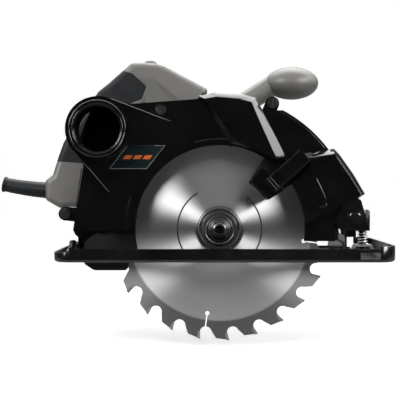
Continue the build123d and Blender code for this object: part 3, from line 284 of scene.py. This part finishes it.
# Softened edge of each CAD node in millimetres. The rest keep their sharp ones
EDGES = {
    "side_cover": 0.7, "guard_housing": 0.5, "lower_guard": 0.4, "guard_lever": 0.9, "base_plate": 0.35,
    "front_quadrant": 0.3, "rear_bracket": 0.3, "front_tilt_bracket": 0.4, "depth_arm": 0.3,
    "fence_bridge": 0.3, "bevel_clamp_knob": 0.5, "fence_clamp_screw": 0.3, "depth_pivot_pin": 0.4,
    "bevel_pins": 0.3, "outer_flange": 0.4, "blade_bolt": 0.4, "cover_screws": 0.25, "handle_screws": 0.2,
    "housing_screws": 0.2, "base_rivets": 0.3, "saw_blade": 0.08, "carbide_tips": 0.1, "cord_clamp": 0.4,
    "depth_lever": 0.5, "trigger": 0.6, "brush_caps": 0.5, "retaining_rings": 0.15, "motor_housing": 0.4,
    "gear_case": 0.5, "cord_sleeve": 0.5, "end_cap": 0.3,
}
# Nodes that look darker than the rest of their slot
DARK_NODES = ("bevel_pins", "bevel_clamp_bolt", "depth_bolt", "cover_screws")
BLACK_NODES = ("depth_pivot_pin", "fence_clamp_screw", "base_rivets", "retaining_rings")

for row in frame["record"]["subparts"]:
    finish = FINISH[row["material_slot"]]
    if row["node"] in DARK_NODES:
        finish = DARK_STEEL
    if row["node"] in BLACK_NODES:
        finish = BLACK_STEEL
    dress(row["node"], finish, EDGES.get(row["node"], 0) * MM)


# Mesh helpers
def joined(*parts):
    """Vertices and faces of several (verts, faces) parts as one."""
    verts, faces = [], []
    for more, more_faces in parts:
        shift = len(verts)
        verts += more
        faces += [tuple(v + shift for v in face) for face in more_faces]
    return verts, faces


def add_piece(name, verts, faces, material, body, slot, smooth=True):
    """A mesh piece in the row frame, in millimetres, that rides on a body."""
    mesh = bpy.data.meshes.new(name)
    mesh.from_pydata([tuple(c * MM for c in v) for v in verts], [], faces)
    mesh.update()
    for face in mesh.polygons:
        face.use_smooth = smooth
    if smooth:
        mesh.set_sharp_from_angle(angle=math.radians(38))
    mesh.materials.append(material)
    made = bpy.data.objects.new(name, mesh)
    bpy.context.scene.collection.objects.link(made)
    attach(made, body)
    return made


def turned(profile, origin, steps=96, across_flats=None, flats=()):
    """A closed (radius, y) profile turned about Y; the points in flats follow a hexagon instead."""
    along = Vector((0, 1, 0))
    first = along.orthogonal().normalized()
    second = along.cross(first)
    start = Vector(origin)
    verts, faces = [], []
    count = len(profile)
    for step in range(steps):
        angle = 2 * math.pi * step / steps
        spoke = first * math.cos(angle) + second * math.sin(angle)
        for k, (radius, distance) in enumerate(profile):
            if k in flats:
                turn = (angle + math.pi / 6) % (math.pi / 3) - math.pi / 6
                radius = across_flats / 2 / math.cos(turn)
            verts.append(start + spoke * radius + along * distance)
    for step in range(steps):
        here, there = step * count, (step + 1) % steps * count
        for k in range(count):
            after = (k + 1) % count
            faces.append((here + k, here + after, there + after, there + k))
    return verts, faces


def swept(stations, sides=40):
    """A closed round skin through (point, direction, radius) stations, joined end to end."""
    verts, faces = [], []
    for point, direction, radius in stations:
        along = direction.normalized()
        first = Vector((0, 1, 0))
        second = along.cross(first)
        for s in range(sides):
            angle = 2 * math.pi * s / sides
            verts.append(point + (first * math.cos(angle) + second * math.sin(angle)) * radius)
    count = len(stations)
    for k in range(count):
        for s in range(sides):
            after = (s + 1) % sides
            low, high = k * sides, (k + 1) % count * sides
            faces.append((low + s, low + after, high + after, high + s))
    return verts, faces


def tube_along(points, radius, sides=10):
    """Vertices and faces of a round wire through points."""
    verts, faces = [], []
    across = None
    for k, point in enumerate(points):
        ahead = (points[min(k + 1, len(points) - 1)] - points[max(k - 1, 0)]).normalized()
        if across is None:
            across = ahead.orthogonal()
        across = (across - ahead * across.dot(ahead)).normalized()
        side = ahead.cross(across)
        for s in range(sides):
            angle = 2 * math.pi * s / sides
            verts.append(point + (across * math.cos(angle) + side * math.sin(angle)) * radius)
    for k in range(len(points) - 1):
        for s in range(sides):
            after = (s + 1) % sides
            low, high = k * sides, (k + 1) * sides
            faces.append((low + s, low + after, high + after, high + s))
    faces.append(tuple(reversed(range(sides))))
    faces.append(tuple(range(len(verts) - sides, len(verts))))
    return verts, faces


def flat_plate(outline, y0, y1):
    """Vertices and faces of a plate whose outline is (x, z) points."""
    count = len(outline)
    verts = [(x, y0, z) for x, z in outline] + [(x, y1, z) for x, z in outline]
    faces = [tuple(range(count)), tuple(reversed(range(count, 2 * count)))]
    for k in range(count):
        after = (k + 1) % count
        faces.append((k, k + count, after + count, after))
    return verts, faces


def on_arc(radius, angle):
    """The (x, z) point at a radius and an angle in degrees about the arbor."""
    return (AX + radius * math.cos(math.radians(angle)), AZ + radius * math.sin(math.radians(angle)))


def arc_path(radius, start, end, steps=24):
    """Points (x, z) along an arc about the arbor, between two angles in degrees."""
    return [on_arc(radius, start + (end - start) * k / steps) for k in range(steps + 1)]


def printed_arc(name, start, end, arrow):
    """A thin arc printed on the blade, with an arrowhead at its start where asked."""
    face = BLADE_LOW.y / MM
    front, back = face - 0.04, face + 0.02
    outer, inner = 35.5, 34.2
    outline = arc_path(outer, start, end, 40) + arc_path(inner, end, start, 40)
    parts = [flat_plate(outline, front, back)]
    if arrow:
        foot, tip = start - 0.5, start + 6.5
        head = [on_arc(37.4, foot), on_arc(34.9, tip), on_arc(32.3, foot)]
        parts.append(flat_plate(head, front, back))
    add_piece(name, *joined(*parts), PRINT, "blade_group", "dark_steel", smooth=False)


printed_arc("blade_print_left", 232, 121, False)
printed_arc("blade_print_right", 45, -38, True)


def wound_spring(name, node, radius, wire, turns, body):
    """A helical spring in the place of its sleeve-shaped stand-in, along Z."""
    low, high = box_mm(node)
    centre = middle_mm(node)
    z0, z1 = low.z + wire, high.z - wire
    steps = int(turns * 28)
    points = []
    for k in range(steps + 1):
        part = k / steps
        angle = 2 * math.pi * turns * part
        x, y = centre.x + radius * math.cos(angle), centre.y + radius * math.sin(angle)
        points.append(Vector((x, y, z0 + (z1 - z0) * part)))
    verts, faces = tube_along(points, wire)
    spring = add_piece(name, verts, faces, ZINC_STEEL, body, "zinc_steel")
    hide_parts(node)


wound_spring("fence_coil", "fence_clamp_spring", radius=3.8, wire=0.5, turns=4.5, body="base")


def rounded(profile, radii, steps=5):
    """A closed (radius, y) profile with its corners rounded."""
    made = []
    count = len(profile)
    for k, (corner, radius) in enumerate(zip(profile, radii)):
        here = Vector(corner)
        before, after = Vector(profile[k - 1]) - here, Vector(profile[(k + 1) % count]) - here
        cut = min(radius, before.length * 0.48, after.length * 0.48)
        if cut <= 0:
            made.append(tuple(here))
            continue
        start, end = here + before.normalized() * cut, here + after.normalized() * cut
        for step in range(steps + 1):
            part = step / steps
            made.append(tuple(start * (1 - part) ** 2 + here * 2 * part * (1 - part) + end * part ** 2))
    return made


def port_mouth():
    """The hose socket's collar: a rolled outer lip, a groove, an inner lip and a stepped bore."""
    low, high = box_mm("dust_port_ring")
    centre = ((low.x + high.x) / 2, 0, (low.z + high.z) / 2)
    y0, y1 = low.y, high.y
    profile = [
        (22.7, y0 + 3.9), (22.7, y0), (21.4, y0), (21.0, y0 + 1.6), (20.4, y0 + 1.6), (20.2, y0 + 0.5),
        (19.3, y0 + 0.5), (19.0, y0 + 2.6), (18.05, y0 + 2.6), (18.05, y1), (21.8, y1), (21.8, y0 + 3.9),
    ]
    radii = (0, 0.7, 0.6, 0.4, 0.4, 0.5, 0.5, 0.5, 0.4, 0, 0, 0)
    verts, faces = turned(rounded(profile, radii), centre)
    mouth = add_piece("port_mouth", verts, faces, BLACK_PLASTIC, "saw_body", "black_plastic")
    # The bore's faces take the near-black finish, which paints the shade deep inside the port
    mouth.data.materials.append(BORE_SHADE)
    bore_starts = (y0 + 2.7) * MM
    for face in mouth.data.polygons:
        if face.center.y > bore_starts:
            face.material_index = 1
    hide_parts("dust_port_ring")


port_mouth()


def blade_flange():
    """The outer flange: a domed washer with turned rings, and the bolt's washer face over it."""
    y0, y1 = (corner.y for corner in box_mm("outer_flange"))
    profile = [
        (18.75, y1), (18.75, y0 + 1.9), (17.4, y0 + 1.1), (16.4, y0 + 1.0), (16.1, y0 + 1.5),
        (15.7, y0 + 1.5), (14.6, y0 + 0.3), (12.4, y0), (11.6, y0 + 0.35), (11.2, y0 + 0.35),
        (10.8, y0), (4.15, y0), (4.15, y1),
    ]
    radii = (0, 0.6, 0.5, 0.2, 0.15, 0.15, 0.3, 0.3, 0.15, 0.15, 0.3, 0, 0)
    verts, faces = turned(rounded(profile, radii), (AX, 0, AZ))
    flange = add_piece("blade_flange", verts, faces, DARK_STEEL, "blade_group", "dark_steel")
    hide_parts("outer_flange")


blade_flange()


def blade_bolt_head():
    """A flanged round head with a domed rim and a hexagon socket, on its plain shank."""
    y0, y1 = (corner.y for corner in box_mm("blade_bolt"))
    profile = [
        (0.01, y0 + 4.4), (0.02, y0 + 4.4), (0.03, y0), (4.2, y0), (5.4, y0 + 0.5), (6.5, y0 + 1.3),
        (6.5, y0 + 4.2), (7.2, y0 + 4.5), (9.4, y0 + 4.9), (9.4, y0 + 6.1), (3.9, y0 + 6.1), (3.9, y1),
        (0.01, y1),
    ]
    radii = (0, 0, 0, 0, 0.8, 0.8, 0.4, 0.3, 0.6, 0, 0, 0, 0)
    verts, faces = turned(rounded(profile, radii), (AX, 0, AZ), across_flats=6.0, flats=(1, 2))
    head = add_piece("blade_bolt_head", verts, faces, DARK_STEEL, "blade_group", "dark_steel")
    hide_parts("blade_bolt")


blade_bolt_head()


def cord_guard():
    """The rubber sleeve: a tapered tube that curves up to a rolled lip, hollow at its end."""
    middle = middle_mm("cord_sleeve").y
    points = [Vector((-146, middle, 57.4)), Vector((-168, middle, 58.8)), Vector((-188.2, middle, 63.1))]

    def station(part, radius):
        here = points[0] * (1 - part) ** 2 + points[1] * 2 * part * (1 - part) + points[2] * part ** 2
        ahead = (points[1] - points[0]) * (1 - part) + (points[2] - points[1]) * part
        return here, ahead, radius

    root_radius, taper, bore = 7.15, 1.1, 3.75
    outer = [station(k / 24 * 0.93, root_radius - taper * k / 24) for k in range(25)]
    lip = [
        (0.945, 6.5), (0.96, 6.85), (0.975, 6.9), (0.99, 6.6),
        (1.0, 5.9), (1.0, 4.9), (0.985, 4.2), (0.96, 3.8),
    ]
    inner = [station(0.9 - 0.9 * k / 12, bore) for k in range(13)]
    verts, faces = swept(outer + [station(*row) for row in lip] + inner)
    sleeve = add_piece("cord_guard", verts, faces, SOFT_RUBBER, "saw_body", "soft_rubber")
    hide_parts("cord_sleeve")


cord_guard()


# Fine lines on the black mouldings: their surfaces and the lever's direction, in millimetres and degrees
COVER_Y, RAISED_Y = -15.0, -22.0
DUCT_FOOT, DUCT_ACROSS, DUCT_RISE = (-38.8, 113.9), (-0.759, 0.651), 0.31
LEVER_ANGLE, LEVER_HALF = 41.8, 5.7
BROAD, FINE = 0.45, 0.35


def ridge(name, path, depth, radius=BROAD, body="saw_body"):
    """A fine raised line on a black moulding, half sunk in its surface, through (x, z) points."""
    verts, faces = tube_along([Vector((x, depth(x, z), z)) for x, z in path], radius, sides=12)
    add_piece(name, verts, faces, BLACK_PLASTIC, body, "black_plastic")


def on_cover(x, z):
    return COVER_Y


def on_raised(x, z):
    return RAISED_Y


def on_duct(x, z):
    """The duct's front slopes out from its foot towards the hose port."""
    across = (x - DUCT_FOOT[0]) * DUCT_ACROSS[0] + (z - DUCT_FOOT[1]) * DUCT_ACROSS[1]
    return COVER_Y - DUCT_RISE * across


def straight(start, end, steps=12):
    """Evenly spaced (x, z) points from one to another."""
    return [tuple(a + (b - a) * k / steps for a, b in zip(start, end)) for k in range(steps + 1)]


ridge("cover_rim_top", arc_path(74.0, 106, 79), on_cover)
ridge("cover_rim_left", arc_path(77.0, 161, 179), on_cover)
RIB_BEND = [(77.8, 67.4), (80.6, 62.0), (83.4, 55.6), (85.4, 50.6), (86.2, 46.0), (84.6, 45.2), (79.5, 44.4)]
ridge("cover_rib", RIB_BEND, on_raised)
ridge("cover_rim_right", arc_path(107.9, 63, 38), on_cover, FINE)
ridge("cover_edge_left", straight((-112.3, 76.0), (-118.6, 34.0)), on_cover, FINE)
RAISED_CORNER = (104.6, 69.6)
RAISED_RUN = straight((93.8, 85.0), RAISED_CORNER) + straight(RAISED_CORNER, (113.8, 54.8))[1:]
ridge("raised_edge", RAISED_RUN, on_raised, FINE)
ridge("duct_edge_top", straight((-88.0, 131.3), (-40.0, 114.1)), on_duct)
ridge("duct_edge_low", straight((-117.5, 90.2), (-90.0, 56.5)), on_duct)


def on_lever(x, z):
    return box_mm("guard_lever")[0].y


def beside_lever(radius, offset):
    """A point on the lever, at a distance along it from the arbor and a distance across it."""
    x, z = on_arc(radius, LEVER_ANGLE)
    angle = math.radians(LEVER_ANGLE)
    return x + offset * math.sin(angle), z - offset * math.cos(angle)


for side, offset in (("far", -LEVER_HALF), ("near", LEVER_HALF)):
    run = straight(beside_lever(53, offset), beside_lever(90, offset))
    ridge(f"lever_edge_{side}", run, on_lever, FINE, "lower_guard_group")
for step, distance in enumerate((55.5, 58.0)):
    run = straight(beside_lever(distance, -LEVER_HALF), beside_lever(distance, LEVER_HALF))
    ridge(f"lever_step_{step}", run, on_lever, 0.3, "lower_guard_group")


def clip_ends():
    """The two drilled ends of the pivot's retaining ring, in bright zinc against the black ring: painted
    highlights on its ends.
    """
    pin = middle_mm("depth_pivot_pin")
    front, back = -15.7, -14.6
    hole, outside = 0.3, 1.0
    apart, above = 3.2, 2.2
    profile = rounded([(hole, back), (hole, front), (outside, front), (outside, back)], (0, 0.05, 0.4, 0))
    ends = [turned(profile, (x, 0, pin.z + above), steps=24) for x in (pin.x - apart, pin.x + apart)]
    # Bright zinc on the ends paints their highlights; the rest of the ring is black steel
    add_piece("clip_ends", *joined(*ends), ZINC_STEEL, "saw_body", "zinc_steel")


clip_ends()


def handle_facet():
    """A shallow sloping facet on the handle's near side, under its front run."""
    y = box_mm("handle_near")[0].y
    outline = [(-67.8, 154.6), (-57.5, 154.6), (-36.5, 138.0), (-39.0, 133.0), (-64.2, 133.1), (-59.6, 145.3)]
    rise = [1.3, 1.3, 1.3, -0.3, -0.3, 0.6]
    front = [(x, y - up, z) for (x, z), up in zip(outline, rise)]
    behind = [(x, y + 0.8, z) for x, z in outline]
    count = len(outline)
    faces = [tuple(range(count)), tuple(reversed(range(count, 2 * count)))]
    faces += [(k, k + count, (k + 1) % count + count, (k + 1) % count) for k in range(count)]
    add_piece("handle_facet", front + behind, faces, GREY_PLASTIC, "saw_body", "grey_plastic", smooth=False)


handle_facet()


def badge():
    """A framed plate with a generic mark of slanted bars."""
    low, high = box_mm("badge_plate")
    front = low.y + 0.3
    outer = [(-75.2, 94.6), (-44.4, 94.6), (-59.4, 75.5), (-90.0, 75.5)]
    inner = [(-74.75, 94.15), (-45.35, 94.15), (-59.65, 75.95), (-89.05, 75.95)]
    verts, faces = flat_plate(outer, front + 0.35, high.y)
    plate = add_piece("badge", verts, faces, EMBLEM, "saw_body", "emblem", smooth=False)
    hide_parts("badge_plate")
    verts = [(x, front, z) for x, z in outer + inner] + [(x, front + 0.4, z) for x, z in outer + inner]
    faces = []
    for k in range(4):
        after = (k + 1) % 4
        faces.append((k, after, after + 4, k + 4))
        faces.append((k + 8, k + 12, after + 12, after + 8))
        faces.append((k, k + 8, after + 8, after))
        faces.append((k + 4, after + 4, after + 12, k + 12))
    add_piece("badge_frame", verts, faces, ZINC_STEEL, "saw_body", "zinc_steel", smooth=False)
    bar_low, bar_high, bar_width, slant, pitch = 83.4, 86.6, 6.0, 2.4, 8.0
    for bar in range(3):
        x = -79.0 + pitch * bar
        mark = [
            (x, bar_low), (x + bar_width, bar_low), (x + bar_width + slant, bar_high), (x + slant, bar_high),
        ]
        verts, faces = flat_plate(mark, front, front + 0.36)
        add_piece(f"badge_bar_{bar}", verts, faces, ORANGE, "saw_body", "emblem", smooth=False)


badge()


# Camera, level and square to the blade
VIEW_DISTANCE = 800 * MM
VIEW_X, VIEW_Z = -16.1 * MM, 63.2 * MM
PICTURE_WIDTH = 331.5 * MM
SENSOR = 36.0
SHIFT_UP = -0.04


def make_camera():
    data = bpy.data.cameras.new("view")
    data.sensor_width = SENSOR
    data.lens = SENSOR * VIEW_DISTANCE / PICTURE_WIDTH
    data.shift_y = SHIFT_UP
    camera = bpy.data.objects.new("view", data)
    camera.location = (VIEW_X, -VIEW_DISTANCE, VIEW_Z)
    camera.rotation_euler = (math.pi / 2, 0, 0)
    bpy.context.scene.collection.objects.link(camera)
    bpy.context.scene.camera = camera


def soft_light(name, place, width, height, power, diffuse=True, glossy=True, aim=ARBOR):
    """A rectangular panel that faces its aim, and lights only what it is asked to."""
    data = bpy.data.lights.new(name, "AREA")
    data.shape = "RECTANGLE"
    data.size, data.size_y = width, height
    data.energy = power
    lamp = bpy.data.objects.new(name, data)
    lamp.location = place
    lamp.rotation_euler = (Vector(aim) - Vector(place)).to_track_quat("-Z", "Y").to_euler()
    lamp.visible_diffuse = diffuse
    lamp.visible_glossy = glossy
    bpy.context.scene.collection.objects.link(lamp)


def make_studio():
    """A white room behind the saw and a dark one in front, with panels for its glossy edges."""
    world = bpy.data.worlds.new("studio")
    bpy.context.scene.world = world
    world.use_nodes = True
    tree = world.node_tree
    back = tree.nodes["Background"]
    back.inputs["Color"].default_value = (1, 1, 1, 1)
    coords = tree.nodes.new("ShaderNodeTexCoord")
    split = tree.nodes.new("ShaderNodeSeparateXYZ")
    tree.links.new(coords.outputs["Generated"], split.inputs[0])
    behind = remap(tree, split.outputs["Y"], 0.025, 0.35, -0.15, 0.45)
    seen = tree.nodes.new("ShaderNodeLightPath").outputs["Is Camera Ray"]
    larger = tree.nodes.new("ShaderNodeMath")
    larger.operation = "MAXIMUM"
    tree.links.new(behind, larger.inputs[0])
    tree.links.new(seen, larger.inputs[1])
    tree.links.new(larger.outputs[0], back.inputs["Strength"])
    soft_light("top", (0, 0.47, 0.9), 1.6, 1.0, 36, diffuse=False, aim=(0, 0.47, 0))
    soft_light("right_flank", (1.0, -0.1, 0.65), 0.8, 0.6, 12, diffuse=False)
    soft_light("left_flank", (-1.0, 0.1, 0.6), 0.5, 0.4, 3, diffuse=False)
    soft_light("key", (-0.3, -0.8, 0.9), 0.9, 0.6, 11, glossy=False)
    soft_light("fill", (0.7, -0.8, 0.3), 0.8, 0.6, 3, glossy=False)
    soft_light("blade_left", (-0.72, -0.8, 0.42), 0.42, 0.38, 13, diffuse=False)
    soft_light("blade_right", (0.72, -0.8, 0.40), 0.42, 0.38, 12, diffuse=False)
    soft_light("blade_top", (0, -0.8, 1.0), 1.2, 0.6, 5, diffuse=False)
    bpy.context.scene.view_settings.view_transform = "Standard"


# Floor, in metres
FLOOR_FRONT, FLOOR_BACK, FLOOR_HALF = -0.22, 1.2, 3.0
BEND, WALL_TOP = 0.6, 2.5
FLOOR_GAP = 6 * MM


def make_floor():
    """A pale floor under the blade that curves up into a backdrop."""
    profile = [(FLOOR_FRONT, 0.0), (FLOOR_BACK, 0.0)]
    for step in range(1, 10):
        angle = math.radians(10 * step)
        profile.append((FLOOR_BACK + BEND * math.sin(angle), BEND - BEND * math.cos(angle)))
    profile.append((FLOOR_BACK + BEND, WALL_TOP))
    verts, faces = [], []
    floor_z = CAD_BOX[0].z - FLOOR_GAP
    for y, z in profile:
        verts += [(-FLOOR_HALF, y, floor_z + z), (FLOOR_HALF, y, floor_z + z)]
    for step in range(len(profile) - 1):
        low = 2 * step
        faces.append((low, low + 1, low + 3, low + 2))
    mesh = bpy.data.meshes.new("floor")
    mesh.from_pydata(verts, [], faces)
    for face in mesh.polygons:
        face.use_smooth = True
    floor = bpy.data.objects.new("floor", mesh)
    bpy.context.scene.collection.objects.link(floor)
    paper = grained("floor_paper", (0.86, 0.86, 0.86), (0.88, 0.88, 0.88), 0, (0.8, 0.9), 300)
    paper_tree = paper.node_tree
    paper_shader = paper_tree.nodes["Principled BSDF"]
    set_shader(paper_shader, Emission_Color=(1, 1, 1, 1))
    seen = paper_tree.nodes.new("ShaderNodeLightPath").outputs["Is Camera Ray"]
    glow = remap(paper_tree, seen, 0.05, 0.75, 0, 1)
    paper_tree.links.new(glow, paper_shader.inputs["Emission Strength"])
    floor.data.materials.append(paper)


make_camera()
make_studio()
make_floor()
